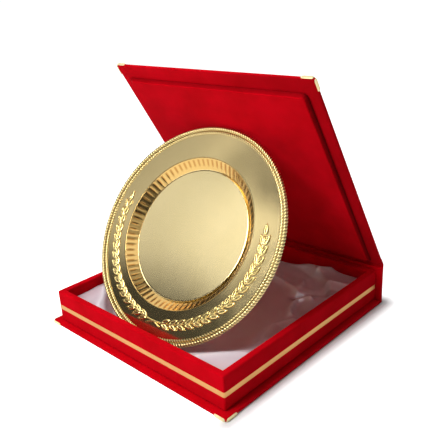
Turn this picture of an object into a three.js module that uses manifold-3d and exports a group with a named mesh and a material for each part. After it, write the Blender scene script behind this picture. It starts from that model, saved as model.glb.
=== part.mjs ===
// Award plaque box: a velvet-covered presentation case with a book-style cover, standing open,
// with a round gold award plate leaning between its satin-lined tray and its lid.
// Millimetres, +Z up. The origin is on the underside of the base board, below the middle of the tray.
// +Y points to the hinge, and the plate faces -Y.

import * as THREE from 'three';
import { mergeVertices } from 'three/addons/utils/BufferGeometryUtils.js';
import Module from 'manifold-3d';

const wasm = await Module();
wasm.setup();

// Plate, the size that the case is made round
const plateRadius = 100;
const ropeRadius = 1.9;
const ropeSwell = 0.35;
const sheetThickness = 1.2;
const flangeWidth = 26.4;
const coveWidth = 9;
const coveDepth = 7.5;
const fluteDepth = 0.7;
const discThickness = 0.8;
const discMargin = 0.5;
const discSegments = 96;
const ropeBeads = 200;
const ropeSides = 4;
const flutes = 80;
const fluteSegments = 3;
const coveSteps = 3;

// Laurel wreath on the plate's flange. Its place and its width are shares of the flange's width.
const wreathPlaceShare = 0.455;
const wreathWidthShare = 0.34;
const stemWidth = 1.7;
const stemHeight = 1.0;
const stemSegments = 16;
const tailTurn = THREE.MathUtils.degToRad(22);
const tailShare = 0.8;
const leafHeight = 1.7;
const leafSlimShare = 0.4;
const leafWidestShare = 0.42;
const berryRadius = 1.5;
const berrySides = 8;
const leafPairs = 16;
const branchSpan = THREE.MathUtils.degToRad(100);
const firstLeaf = THREE.MathUtils.degToRad(6);
const leafSpread = THREE.MathUtils.degToRad(24);

// Tray
const bedClearance = 1.5;
const wallThickness = 6.5;
const wallHeight = 31;
const wallEdgeRadius = 1.5;
const floorThickness = 2;

// Cover boards
const boardThickness = 3;
const boardEdgeRadius = 0.9;
const boardCornerRadius = 1.6;
const coverOverhang = 6;
const lidFrontOverhang = 3.5;
const panelThickness = 3.6;
const panelEdgeRadius = 1.2;
const panelSideMargin = 10;
const panelFrontMargin = 13.5;
const panelBackMargin = 4;
const clothThickness = 0.6;
const clothEdgeRadius = 0.15;
const clothLap = 8;

// Gold trim strip and corner protectors
const stripWidth = 5;
const stripThickness = 0.8;
const stripProud = 0.2;
const stripHeight = 12;
const cornerLeg = 14;
const cornerTip = 2.5;
const cornerThickness = 0.45;
const flangeEndRadius = 1;

// Bedding: heights above the tray floor
const bedHeight = 6.6;
const bedEdgeHeight = 10.3;
const cornerHeight = 16.7;
const bedFlatRadius = 66;
const cornerRise = 24;
const satinThickness = 0.9;
const foldHeight = 1.5;
const folds = 16;
const foldSwirl = 9;
const beddingSteps = 20;

// How the case stands in the photograph
const lidOpening = THREE.MathUtils.degToRad(59.6);
const footSetback = 7.6;
const plateTurn = THREE.MathUtils.degToRad(3);

// Clearances
const seatGap = 0.3;
const jointGap = 0.1;
const overrun = 1;

// Sizes that follow
const innerHalf = plateRadius + bedClearance;
const outerHalf = innerHalf + wallThickness;
const coverHalf = outerHalf + coverOverhang;
const floorTop = boardThickness + floorThickness;
const rimTop = boardThickness + wallHeight;
const spineFront = outerHalf + seatGap;
const hingeY = spineFront + boardThickness;
const hingeZ = rimTop + seatGap + panelThickness + boardThickness;
const lidLength = hingeY + outerHalf + lidFrontOverhang;
const lidStack = boardThickness + panelThickness;

const ropeCentre = plateRadius - ropeRadius;
const dishRadius = ropeCentre - ropeRadius - seatGap;
const coveRadius = dishRadius - flangeWidth;
const wellRadius = coveRadius - coveWidth;
const flangeFront = sheetThickness / 2;
const wellFront = flangeFront - coveDepth;

const wreathRadius = coveRadius + flangeWidth * wreathPlaceShare;
const leafLength = flangeWidth * wreathWidthShare / (2 * Math.sin(leafSpread));
const leafWidth = leafLength * leafSlimShare;
const tailLength = leafLength * tailShare;

const velvet = { color: 0xb8000f, roughness: 0.95, metalness: 0 };
const brass = { color: 0xd8b25a, roughness: 0.35, metalness: 1 };
const gold = { color: 0xdcb765, roughness: 0.25, metalness: 1 };
const paleGold = { color: 0xd9cc9a, roughness: 0.35, metalness: 1 };
const satin = { color: 0xe6dde0, roughness: 0.45, metalness: 0 };
const wadding = { color: 0xf2f0ec, roughness: 1, metalness: 0 };

const box = new THREE.Group();

function add(parent, name, geometry, finish) {
  const mesh = new THREE.Mesh(geometry, new THREE.MeshStandardMaterial(finish));
  mesh.name = name;
  parent.add(mesh);
  return mesh;
}

// A closed geometry as a manifold solid, and back again.
function solid(geometry) {
  const bare = geometry.index ? geometry.toNonIndexed() : geometry.clone();
  bare.deleteAttribute('normal');
  bare.deleteAttribute('uv');
  const merged = mergeVertices(bare, jointGap / 1000);
  return new wasm.Manifold(new wasm.Mesh({
    numProp: 3,
    vertProperties: new Float32Array(merged.attributes.position.array),
    triVerts: new Uint32Array(merged.index.array),
  }));
}

function geometryOf(body) {
  const mesh = body.getMesh();
  const geometry = new THREE.BufferGeometry();
  geometry.setAttribute('position', new THREE.BufferAttribute(new Float32Array(mesh.vertProperties), 3));
  geometry.setIndex(new THREE.BufferAttribute(new Uint32Array(mesh.triVerts), 1));
  return geometry;
}

function joined(geometries) {
  return geometryOf(geometries.map(solid).reduce((whole, piece) => whole.add(piece)));
}

function cut(geometry, cutters) {
  return geometryOf(cutters.map(solid).reduce((whole, piece) => whole.subtract(piece), solid(geometry)));
}

// A rectangle with round corners, centred on the origin.
function roundedRectangle(width, depth, radius) {
  const x = width / 2 - radius;
  const y = depth / 2 - radius;
  const shape = new THREE.Shape();
  shape.absarc(x, y, radius, 0, Math.PI / 2);
  shape.absarc(-x, y, radius, Math.PI / 2, Math.PI);
  shape.absarc(-x, -y, radius, Math.PI, 1.5 * Math.PI);
  shape.absarc(x, -y, radius, 1.5 * Math.PI, 2 * Math.PI);
  shape.closePath();
  return shape;
}

// A board with round corners and soft edges, from z = 0 up.
function board(width, depth, thickness, cornerRadius, edgeRadius) {
  const shape = roundedRectangle(width - 2 * edgeRadius, depth - 2 * edgeRadius, cornerRadius);
  const geometry = new THREE.ExtrudeGeometry(shape, {
    depth: thickness - 2 * edgeRadius,
    bevelThickness: edgeRadius,
    bevelSize: edgeRadius,
    bevelSegments: 2,
    curveSegments: 3,
  });
  return geometry.translate(0, 0, edgeRadius);
}

// A bar along X from an outline of (depth, height) points, with each end mitred or square.
function bar(outline, halfLength, mitredStart, mitredEnd) {
  const geometry = new THREE.ExtrudeGeometry(outline, { depth: 1, bevelEnabled: false, curveSegments: 4 });
  const point = geometry.attributes.position;
  for (let i = 0; i < point.count; i += 1) {
    const [depth, height, end] = [point.getX(i), point.getY(i), point.getZ(i)];
    const mitred = end > 0 ? mitredEnd : mitredStart;
    const reach = halfLength - jointGap - (mitred ? depth : seatGap + wallEdgeRadius / 2);
    point.setXYZ(i, end > 0 ? reach : -reach, depth, height);
  }
  return geometry;
}

// Places what is made for the front side of the tray on side 0 front, 1 right, 2 back or 3 left.
function onSide(geometry, side, distance) {
  return geometry.translate(0, -distance, 0).rotateZ(side * Math.PI / 2);
}

// A closed sheet over a square of the given half width, between two surfaces.
function sheet(halfWidth, steps, top, bottom) {
  const across = steps + 1;
  const positions = [];
  for (const surface of [top, bottom]) {
    for (let j = 0; j < across; j += 1) {
      for (let i = 0; i < across; i += 1) {
        const x = halfWidth * (2 * i / steps - 1);
        const y = halfWidth * (2 * j / steps - 1);
        positions.push(x, y, surface(x, y));
      }
    }
  }
  const under = across * across;
  const faces = [];
  for (let j = 0; j < steps; j += 1) {
    for (let i = 0; i < steps; i += 1) {
      const a = j * across + i;
      const b = a + 1;
      const c = a + across;
      const d = c + 1;
      faces.push(a, b, d, a, d, c);
      faces.push(under + a, under + d, under + b, under + a, under + c, under + d);
    }
  }
  for (let k = 0; k < steps; k += 1) {
    const edges = [
      [k, k + 1],
      [k * across + steps, (k + 1) * across + steps],
      [steps * across + k + 1, steps * across + k],
      [(k + 1) * across, k * across],
    ];
    for (const [a, b] of edges) {
      faces.push(under + a, under + b, b, under + a, b, a);
    }
  }
  const geometry = new THREE.BufferGeometry();
  geometry.setAttribute('position', new THREE.Float32BufferAttribute(positions, 3));
  geometry.setIndex(faces);
  return geometry;
}

// Rings of points round the Z axis, each joined to the next. Without poles the last ring is joined to the
// first. With poles, which are two heights on the axis, the first and the last ring are closed by a disc.
function closedRings(rings, segments, poles = []) {
  const positions = [];
  for (const ring of rings) {
    for (let i = 0; i < segments; i += 1) {
      const angle = 2 * Math.PI * i / segments;
      const [radius, height] = ring(i);
      positions.push(radius * Math.cos(angle), radius * Math.sin(angle), height);
    }
  }
  const faces = [];
  const joints = poles.length ? rings.length - 1 : rings.length;
  for (let k = 0; k < joints; k += 1) {
    const next = (k + 1) % rings.length;
    for (let i = 0; i < segments; i += 1) {
      const j = (i + 1) % segments;
      const [a, b] = [k * segments + i, k * segments + j];
      const [c, d] = [next * segments + i, next * segments + j];
      faces.push(a, b, d, a, d, c);
    }
  }
  if (poles.length) {
    const firstPole = rings.length * segments;
    const lastRing = firstPole - segments;
    positions.push(0, 0, poles[0], 0, 0, poles[1]);
    for (let i = 0; i < segments; i += 1) {
      const j = (i + 1) % segments;
      faces.push(firstPole, j, i, lastRing + i, lastRing + j, firstPole + 1);
    }
  }
  const geometry = new THREE.BufferGeometry();
  geometry.setAttribute('position', new THREE.Float32BufferAttribute(positions, 3));
  geometry.setIndex(faces);
  return geometry;
}

// Cover: base board, spine board and the cloth between them.

// A corner protector for the corner of a board at the origin, with legs along +X and +Y. The board's
// outer face is z = 0 and the board lies above it. The plate is let into that face, its tip is left open,
// and a flange with round ends stands on each edge of the board.
function cornerProtector() {
  const outside = -cornerThickness - jointGap;
  const plate = new THREE.Shape([
    new THREE.Vector2(cornerTip, outside),
    new THREE.Vector2(cornerLeg, outside),
    new THREE.Vector2(cornerLeg, 0),
    new THREE.Vector2(0, cornerLeg),
    new THREE.Vector2(outside, cornerLeg),
    new THREE.Vector2(outside, cornerTip),
  ]);
  const flange = new THREE.Shape();
  const roundHeight = boardThickness - flangeEndRadius;
  flange.moveTo(cornerTip, 0);
  flange.lineTo(cornerLeg, 0);
  flange.absarc(cornerLeg - flangeEndRadius, roundHeight, flangeEndRadius, 0, Math.PI / 2);
  flange.absarc(cornerTip + flangeEndRadius, roundHeight, flangeEndRadius, Math.PI / 2, Math.PI);
  flange.closePath();
  const sheetDepth = { depth: cornerThickness, bevelEnabled: false, curveSegments: 3 };
  const alongX = new THREE.ExtrudeGeometry(flange, sheetDepth).rotateX(Math.PI / 2);
  alongX.translate(0, -jointGap, 0);
  const alongY = new THREE.ExtrudeGeometry(flange, sheetDepth).rotateX(Math.PI / 2).rotateZ(Math.PI / 2);
  alongY.translate(outside, 0, 0);
  return joined([new THREE.ExtrudeGeometry(plate, sheetDepth), alongX, alongY]);
}

// The pocket in the board's outer face that such a protector is let into.
function cornerPocket() {
  const reach = cornerLeg + jointGap;
  const outline = new THREE.Shape([
    new THREE.Vector2(-overrun, -overrun),
    new THREE.Vector2(reach, -overrun),
    new THREE.Vector2(reach, jointGap),
    new THREE.Vector2(jointGap, reach),
    new THREE.Vector2(-overrun, reach),
  ]);
  const depth = cornerThickness + jointGap;
  return new THREE.ExtrudeGeometry(outline, { depth: depth + overrun, bevelEnabled: false }).translate(0, 0, -overrun);
}

const baseBack = outerHalf - seatGap;
const baseDepth = coverHalf + baseBack;
const baseBoard = board(2 * coverHalf, baseDepth, boardThickness, boardCornerRadius, boardEdgeRadius)
  .translate(0, baseBack - baseDepth / 2, 0);
const baseLeft = new THREE.Matrix4().makeTranslation(-coverHalf, -coverHalf, 0);
const baseRight = new THREE.Matrix4().makeTranslation(coverHalf, -coverHalf, 0)
  .multiply(new THREE.Matrix4().makeRotationZ(Math.PI / 2));
const basePockets = [cornerPocket().applyMatrix4(baseLeft), cornerPocket().applyMatrix4(baseRight)];
add(box, 'base_board', cut(baseBoard, basePockets), velvet);
add(box, 'base_corner_left', cornerProtector().applyMatrix4(baseLeft), brass);
add(box, 'base_corner_right', cornerProtector().applyMatrix4(baseRight), brass);

const spineBottom = clothThickness + seatGap;
const spineTop = hingeZ - boardThickness - seatGap;
const spineBoard = board(2 * coverHalf, spineTop - spineBottom, boardThickness, boardCornerRadius, boardEdgeRadius)
  .rotateX(Math.PI / 2)
  .translate(0, hingeY, (spineBottom + spineTop) / 2);
add(box, 'spine_board', spineBoard, velvet);

// The lid's hinge cloth laps down the back of the spine and ends at the hinge line.
const clothHalf = coverHalf - boardCornerRadius;
const lidClothHeight = hingeZ - seatGap - (spineTop - clothLap);
const lidCloth = new THREE.ExtrudeGeometry(
  roundedRectangle(clothThickness, lidClothHeight, clothEdgeRadius),
  { depth: 2 * clothHalf, bevelEnabled: false, curveSegments: 2 },
);
lidCloth.rotateX(Math.PI / 2).rotateZ(Math.PI / 2);
lidCloth.translate(-clothHalf, hingeY + clothThickness / 2, hingeZ - seatGap - lidClothHeight / 2);
add(box, 'hinge_cloth_lid', lidCloth, velvet);

// The base's hinge cloth runs under the spine, from the back edge of the base board.
const baseClothDepth = hingeY - outerHalf;
const baseCloth = new THREE.ExtrudeGeometry(
  roundedRectangle(baseClothDepth, clothThickness, clothEdgeRadius),
  { depth: 2 * clothHalf, bevelEnabled: false, curveSegments: 2 },
);
baseCloth.rotateX(Math.PI / 2).rotateZ(Math.PI / 2);
baseCloth.translate(-clothHalf, outerHalf + baseClothDepth / 2, clothThickness / 2);
add(box, 'hinge_cloth_base', baseCloth, velvet);

// Tray: four mitred walls with a shallow groove for the gold strip, and the floor.

const grooveDepth = stripThickness - stripProud + jointGap;
const grooveLow = stripHeight - jointGap;
const grooveHigh = stripHeight + stripWidth + jointGap;

function wallOutline(grooved) {
  const outline = new THREE.Shape();
  outline.moveTo(0, 0);
  outline.lineTo(wallThickness, 0);
  outline.absarc(wallThickness - wallEdgeRadius, wallHeight - wallEdgeRadius, wallEdgeRadius, 0, Math.PI / 2);
  outline.absarc(wallEdgeRadius, wallHeight - wallEdgeRadius, wallEdgeRadius, Math.PI / 2, Math.PI);
  if (grooved) {
    outline.lineTo(0, grooveHigh);
    outline.lineTo(grooveDepth, grooveHigh);
    outline.lineTo(grooveDepth, grooveLow);
    outline.lineTo(0, grooveLow);
  }
  outline.closePath();
  return outline;
}

function stripOutline() {
  return new THREE.Shape([
    new THREE.Vector2(-stripProud, stripHeight),
    new THREE.Vector2(stripThickness - stripProud, stripHeight),
    new THREE.Vector2(stripThickness - stripProud, stripHeight + stripWidth),
    new THREE.Vector2(-stripProud, stripHeight + stripWidth),
  ]);
}

const sides = [
  { name: 'front', turn: 0, grooved: true, startMitred: true, endMitred: true },
  { name: 'right', turn: 1, grooved: true, startMitred: true, endMitred: false },
  { name: 'back', turn: 2, grooved: false },
  { name: 'left', turn: 3, grooved: true, startMitred: false, endMitred: true },
];
for (const side of sides) {
  const wall = bar(wallOutline(side.grooved), outerHalf, true, true).translate(0, 0, boardThickness);
  add(box, `tray_${side.name}_wall`, onSide(wall, side.turn, outerHalf), velvet);
  if (side.grooved) {
    const strip = bar(stripOutline(), outerHalf, side.startMitred, side.endMitred).translate(0, 0, boardThickness);
    add(box, `trim_strip_${side.name}`, onSide(strip, side.turn, outerHalf), brass);
  }
}

const floorWidth = 2 * (innerHalf - jointGap);
const floorBoard = new THREE.BoxGeometry(floorWidth, floorWidth, floorThickness);
add(box, 'tray_floor', floorBoard.translate(0, 0, boardThickness + floorThickness / 2), velvet);

// Bedding: a round bed with a flat middle for the plate. It is puffed up in the four corners, with folds
// that run outwards and swirl as they go.

function beddingTop(x, y) {
  const radius = Math.hypot(x, y);
  const edge = THREE.MathUtils.smoothstep(radius, bedFlatRadius, plateRadius);
  const corner = THREE.MathUtils.smoothstep(radius, plateRadius, plateRadius + cornerRise);
  const fold = foldHeight * corner * Math.cos(folds * Math.atan2(y, x) + foldSwirl * radius / plateRadius);
  const puff = (cornerHeight - bedEdgeHeight) * corner;
  return floorTop + bedHeight + (bedEdgeHeight - bedHeight) * edge + puff + fold;
}

const beddingHalf = innerHalf - seatGap;
const satinUnder = (x, y) => beddingTop(x, y) - satinThickness;
add(box, 'satin_lining', sheet(beddingHalf, beddingSteps, beddingTop, satinUnder), satin);
const padTop = (x, y) => satinUnder(x, y) - seatGap;
const padUnder = () => floorTop + seatGap;
add(box, 'lining_pad', sheet(beddingHalf, beddingSteps, padTop, padUnder), wadding);

// Lid: it hangs on the hinge line at the spine's top outer edge. In its own frame the closed lid lies
// along -Y with its outer face at z = 0.

const lid = new THREE.Group();
lid.position.set(0, hingeY, hingeZ);
lid.rotation.x = -lidOpening;
box.add(lid);

const lidBoard = board(2 * coverHalf, lidLength, boardThickness, boardCornerRadius, boardEdgeRadius)
  .translate(0, -lidLength / 2, -boardThickness);
const upsideDown = new THREE.Matrix4().makeRotationAxis(new THREE.Vector3(1, 1, 0).normalize(), Math.PI);
const lidLeft = new THREE.Matrix4().makeTranslation(-coverHalf, -lidLength, 0).multiply(upsideDown);
const lidRight = new THREE.Matrix4().makeTranslation(coverHalf, -lidLength, 0)
  .multiply(new THREE.Matrix4().makeRotationZ(Math.PI / 2))
  .multiply(upsideDown);
const lidPockets = [cornerPocket().applyMatrix4(lidLeft), cornerPocket().applyMatrix4(lidRight)];
add(lid, 'lid_board', cut(lidBoard, lidPockets), velvet);
add(lid, 'lid_corner_left', cornerProtector().applyMatrix4(lidLeft), brass);
add(lid, 'lid_corner_right', cornerProtector().applyMatrix4(lidRight), brass);

const panelWidth = 2 * (coverHalf - panelSideMargin);
const panelDepth = lidLength - panelFrontMargin - panelBackMargin;
const panelBody = panelThickness - seatGap;
const lidPanel = board(panelWidth, panelDepth, panelBody, boardCornerRadius, panelEdgeRadius)
  .translate(0, -panelBackMargin - panelDepth / 2, -lidStack);
add(lid, 'lid_panel', lidPanel, velvet);

// Plate: its foot stands on the bedding and its rim touches the lid's panel. The lean is where the
// distance from the top of the rim to the panel's face is the rope's radius and a clearance.

const footY = footSetback - innerHalf;
const footZ = beddingTop(0, footY) + seatGap + ropeRadius + ropeSwell;
const reachToLid = (hingeY - footY) * Math.sin(lidOpening) + (hingeZ - footZ) * Math.cos(lidOpening);
const touching = lidStack + ropeRadius + ropeSwell + seatGap;
const lean = lidOpening - Math.acos((reachToLid - touching) / (2 * ropeCentre));

const stand = new THREE.Group();
stand.rotation.z = plateTurn;
box.add(stand);
const plate = new THREE.Group();
plate.position.set(0, footY + ropeCentre * Math.sin(lean), footZ + ropeCentre * Math.cos(lean));
plate.rotation.x = Math.PI / 2 - lean;
stand.add(plate);

// The pressed dish, in a frame with +Z out of its face. The cove falls from the flange to the well along
// half a cosine wave. The flutes are scallops round it, deepest half way down, and the back follows the
// front a sheet's thickness behind.
function coveRing(step, back) {
  const fall = step / coveSteps;
  const radius = coveRadius - coveWidth * fall + (back ? sheetThickness / 2 : 0);
  const height = flangeFront - coveDepth * (1 - Math.cos(Math.PI * fall)) / 2 - (back ? sheetThickness : 0);
  const depth = fluteDepth * Math.sin(Math.PI * fall);
  return (i) => {
    const scallop = depth * Math.sin(Math.PI * (i % fluteSegments) / fluteSegments);
    return [radius - scallop, height - scallop];
  };
}

const coveFront = Array.from({ length: coveSteps + 1 }, (unused, step) => coveRing(step, false));
const coveBack = Array.from({ length: coveSteps + 1 }, (unused, step) => coveRing(coveSteps - step, true));
const rimBack = () => [dishRadius, flangeFront - sheetThickness];
const rimFront = () => [dishRadius, flangeFront];
const dishRings = [...coveBack, rimBack, rimFront, ...coveFront];
const dish = closedRings(dishRings, flutes * fluteSegments, [wellFront - sheetThickness, wellFront]);
add(plate, 'plate_dish', dish, gold);

const discRadius = wellRadius - discMargin;
const disc = new THREE.CylinderGeometry(discRadius, discRadius, discThickness, discSegments);
disc.rotateX(Math.PI / 2).translate(0, 0, wellFront + seatGap + discThickness / 2);
add(plate, 'engraving_disc', disc, paleGold);

// The rope edge: a section of four corners that swells at each bead.
const ropeRings = Array.from({ length: ropeSides }, (unused, side) => {
  const turn = Math.PI / ropeSides - 2 * Math.PI * side / ropeSides;
  return (i) => {
    const radius = ropeRadius + (i % 2 ? -ropeSwell : ropeSwell);
    return [ropeCentre - radius * Math.cos(turn), radius * Math.sin(turn)];
  };
});
add(plate, 'rope_border', closedRings(ropeRings, 2 * ropeBeads), gold);

// The wreath: two branches that start at the plate's lowest point, where their tails cross, each with
// pairs of pointed leaves along an arc of stem and a berry at its end.

const wreathBase = flangeFront + seatGap;

function stem(from, to) {
  const arc = new THREE.Shape();
  arc.absarc(0, 0, wreathRadius + stemWidth / 2, from, to, false);
  arc.absarc(0, 0, wreathRadius - stemWidth / 2, to, from, true);
  arc.closePath();
  return new THREE.ExtrudeGeometry(arc, { depth: stemHeight, bevelEnabled: false, curveSegments: stemSegments });
}

// The straight tail of a branch, which runs on past the lowest point and turns outwards. It starts a
// stem's width before that point, so that it laps over its own stem.
function tail(growth) {
  const piece = new THREE.BoxGeometry(tailLength + stemWidth, stemWidth, stemHeight);
  piece.translate(growth * (stemWidth - tailLength) / 2, 0, stemHeight / 2).rotateZ(growth * tailTurn);
  return piece.translate(0, -wreathRadius, 0);
}

function leaf() {
  const half = leafWidth / 2;
  const widest = leafLength * leafWidestShare;
  const corners = [[0, 0, 0], [widest, -half, 0], [leafLength, 0, 0], [widest, half, 0]];
  const ridge = [widest, 0, leafHeight];
  const geometry = new THREE.BufferGeometry();
  geometry.setAttribute('position', new THREE.Float32BufferAttribute([...corners.flat(), ...ridge], 3));
  geometry.setIndex([0, 1, 4, 1, 2, 4, 2, 3, 4, 3, 0, 4, 0, 2, 1, 0, 3, 2]);
  return geometry;
}

// A leaf whose foot is on the stem at the given angle, pointing along the branch's direction of growth
// and turned aside by the given angle.
function leafOn(angle, growth, aside) {
  const placed = leaf().rotateZ(angle + growth * (Math.PI / 2 + aside));
  return placed.translate(wreathRadius * Math.cos(angle), wreathRadius * Math.sin(angle), 0);
}

function branch(growth) {
  const bottom = -Math.PI / 2;
  const tip = bottom + growth * branchSpan;
  const foot = bottom - growth * stemWidth / wreathRadius;
  const pieces = [stem(Math.min(foot, tip), Math.max(foot, tip)), tail(growth)];
  for (let pair = 0; pair < leafPairs; pair += 1) {
    const angle = bottom + growth * (firstLeaf + (branchSpan - firstLeaf) * pair / leafPairs);
    pieces.push(leafOn(angle, growth, leafSpread), leafOn(angle, growth, -leafSpread));
  }
  pieces.push(leafOn(tip, growth, 0));
  const berry = new THREE.CylinderGeometry(berryRadius / 2, berryRadius, stemHeight, berrySides);
  berry.rotateX(Math.PI / 2);
  berry.translate(wreathRadius * Math.cos(tip), wreathRadius * Math.sin(tip), stemHeight / 2);
  pieces.push(berry);
  return pieces;
}

const wreath = joined([...branch(1), ...branch(-1)]).translate(0, 0, wreathBase);
add(plate, 'laurel_wreath', wreath, gold);

export default box;
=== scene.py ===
# %% [markdown]
# # An award plate in its velvet presentation box
# The box stands open on a white table. A round gold plate leans between the satin in the tray and the lid.
# The CAD solids are loaded first, as a frame that every finer piece is fitted to.

# %% Load the solids
import bpy
import bmesh
import numpy as np
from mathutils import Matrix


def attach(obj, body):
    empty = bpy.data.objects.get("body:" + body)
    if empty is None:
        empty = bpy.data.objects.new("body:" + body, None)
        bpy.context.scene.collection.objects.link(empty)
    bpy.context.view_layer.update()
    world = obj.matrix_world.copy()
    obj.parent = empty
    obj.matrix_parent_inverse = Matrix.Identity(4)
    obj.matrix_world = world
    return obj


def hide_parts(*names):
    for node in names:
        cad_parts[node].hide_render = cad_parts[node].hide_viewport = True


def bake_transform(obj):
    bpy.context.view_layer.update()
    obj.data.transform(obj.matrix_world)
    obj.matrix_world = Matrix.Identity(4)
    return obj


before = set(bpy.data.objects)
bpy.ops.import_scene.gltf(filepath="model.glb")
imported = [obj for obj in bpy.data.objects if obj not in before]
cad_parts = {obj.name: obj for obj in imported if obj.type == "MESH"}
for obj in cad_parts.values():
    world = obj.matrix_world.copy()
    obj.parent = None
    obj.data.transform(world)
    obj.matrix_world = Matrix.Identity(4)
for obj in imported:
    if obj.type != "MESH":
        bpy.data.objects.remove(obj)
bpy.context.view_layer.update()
mm = 0.001

# %% [markdown]
# The camera was fitted to the box's corners and the plate's rim before any piece was drawn. It looks from
# the front right, a little from above, and is rolled by a few degrees. A constraint could aim it at the
# box, but not roll it, so its three axes are worked out and set as a matrix.

# %% Camera
tray_width = 216 * mm
azimuth = np.radians(44.7728)
elevation = np.radians(20.8732)
roll = np.radians(-3.5298)
focal_pixels = 607.4986
image_pixels = 430
camera_distance = 2.7472 * tray_width
camera_aside = -0.018 * tray_width
camera_up = 0.437 * tray_width

back = np.array([
    np.sin(azimuth) * np.cos(elevation),
    -np.cos(azimuth) * np.cos(elevation),
    np.sin(elevation),
])
level_right = np.array([np.cos(azimuth), np.sin(azimuth), 0])
level_up = np.cross(back, level_right)
right = level_right * np.cos(roll) + level_up * np.sin(roll)
up = level_up * np.cos(roll) - level_right * np.sin(roll)
camera_place = back * camera_distance + right * camera_aside + up * camera_up

camera_data = bpy.data.cameras.new("camera")
camera_data.sensor_width = 36
camera_data.lens = focal_pixels / image_pixels * camera_data.sensor_width
camera_data.clip_end = 50
camera = bpy.data.objects.new("camera", camera_data)
bpy.context.scene.collection.objects.link(camera)
camera_matrix = np.eye(4)
camera_matrix[:3, :3] = np.stack([right, up, back], axis=1)
camera_matrix[:3, 3] = camera_place
camera.matrix_world = camera_matrix.T.tolist()
bpy.context.scene.camera = camera
bpy.context.scene.view_settings.view_transform = "Standard"
print("camera at", np.round(camera_place / mm), "mm, lens", round(camera_data.lens, 2), "mm")

# %% [markdown]
# A mesh here is always an array of points and a list of faces. Two makers cover every piece. A loft joins
# loops of points, such as the section of a wall carried along it. A slab is a sheet with a front and a
# back. Primitives with modifiers would make the plain pieces too. Whole arrays are quick, and they put
# each piece's shape in one formula.

# %% Makers of points and faces
def loft(rings, close):
    """Each row of rings is a loop, and quads join it to the next row. close is "round" where the last row
    joins the first, "middle" where each end row is closed by a fan about its own middle, and "face" where
    each end row becomes one flat face."""
    rows, around = rings.shape[:2]
    number = np.arange(rows * around).reshape(rows, around)
    low, high = number[:-1], number[1:]
    if close == "round":
        low, high = number, np.roll(number, -1, axis=0)
    quads = np.stack([low, np.roll(low, -1, axis=1), np.roll(high, -1, axis=1), high], axis=-1)
    points = rings.reshape(-1, 3)
    faces = quads.reshape(-1, 4).tolist()
    first, last = number[0], number[-1]
    if close == "middle":
        middle = len(points)
        points = np.vstack([points, rings[0].mean(axis=0), rings[-1].mean(axis=0)])
        faces += np.stack([np.roll(first, -1), first, np.full(around, middle)], axis=1).tolist()
        faces += np.stack([last, np.roll(last, -1), np.full(around, middle + 1)], axis=1).tolist()
    if close == "face":
        faces += [first[::-1].tolist(), last.tolist()]
    return points, faces


def slab(front, rear):
    """Two grids of points, one behind the other, closed round their shared border by a band of quads."""
    rows, columns = front.shape[:2]
    number = np.arange(rows * columns).reshape(rows, columns)
    quads = np.stack([number[:-1, :-1], number[:-1, 1:], number[1:, 1:], number[1:, :-1]], axis=-1)
    quads = quads.reshape(-1, 4)
    border = np.concatenate([number[0, :-1], number[:-1, -1], number[-1, :0:-1], number[:0:-1, 0]])
    after = np.roll(border, -1)
    behind = rows * columns
    band = np.stack([border, border + behind, after + behind, after], axis=1)
    faces = quads.tolist() + (quads[:, ::-1] + behind).tolist() + band.tolist()
    return np.vstack([front.reshape(-1, 3), rear.reshape(-1, 3)]), faces


def together(shapes):
    """Several closed shapes as one array of points and one list of faces."""
    points, faces, count = [], [], 0
    for shape_points, shape_faces in shapes:
        points.append(shape_points)
        faces += [[corner + count for corner in face] for face in shape_faces]
        count += len(shape_points)
    return np.vstack(points), faces


def piece(name, shape, finish, body, replaces):
    """An object from points in millimetres, with smooth faces that point outwards. It gets its finish, the
    body that it rides on, if it rides on one alone, and the CAD nodes that it replaces."""
    points, faces = shape
    mesh = bpy.data.meshes.new(name)
    mesh.from_pydata((points * mm).tolist(), [], faces)
    measured = bmesh.new()
    measured.from_mesh(mesh)
    if measured.calc_volume(signed=True) < 0:
        mesh.flip_normals()
    measured.free()
    mesh.shade_smooth()
    mesh.materials.append(finish)
    made = bpy.data.objects.new(name, mesh)
    bpy.context.scene.collection.objects.link(made)
    if body:
        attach(made, body)
    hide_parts(*replaces)
    print(f"{name}: {len(faces)} faces")
    return made


def smooth_step(value, low, high):
    """Zero below low, one above high, and between them 3 t squared less 2 t cubed."""
    t = np.clip((value - low) / (high - low), 0, 1)
    return t * t * (3 - 2 * t)


def mark(made, name, values):
    """Stores one number per point of a piece, for its finish to read. Points without one get zero."""
    every = np.zeros(len(made.data.vertices), dtype=np.float32)
    every[:values.size] = values.ravel()
    made.data.attributes.new(name, "FLOAT", "POINT").data.foreach_set("value", every)


# %% [markdown]
# Three frames carry the pieces. The case stands as it is. The lid is drawn closed, lying back from the
# hinge line, and then opened. The plate is drawn lying flat, and then stood up, leant back and turned.

# %% Frames of the lid and the plate
hinge_y = 111.3
hinge_z = 40.9
lid_opening = np.radians(59.6)
plate_centre_y = -36.369
plate_centre_z = 96.995
plate_rise = np.radians(54.0941)
plate_turn = np.radians(3)


def on_lid(points):
    """Turns points of the closed lid about the hinge line by the opening."""
    x, y, z = np.moveaxis(points, -1, 0)
    c, s = np.cos(lid_opening), np.sin(lid_opening)
    return np.stack([x, hinge_y + y * c + z * s, hinge_z - y * s + z * c], axis=-1)


def on_plate(points):
    """Raises points of the flat plate about X, moves them to the plate's centre and turns all about Z."""
    x, y, z = np.moveaxis(points, -1, 0)
    c, s = np.cos(plate_rise), np.sin(plate_rise)
    stood_y = plate_centre_y + y * c - z * s
    stood_z = plate_centre_z + y * s + z * c
    c, s = np.cos(plate_turn), np.sin(plate_turn)
    return np.stack([x * c - stood_y * s, x * s + stood_y * c, stood_z], axis=-1)


print("lid opened by", round(np.degrees(lid_opening), 1), "degrees")
print("plate raised by", round(np.degrees(plate_rise), 1), "degrees")

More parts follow.
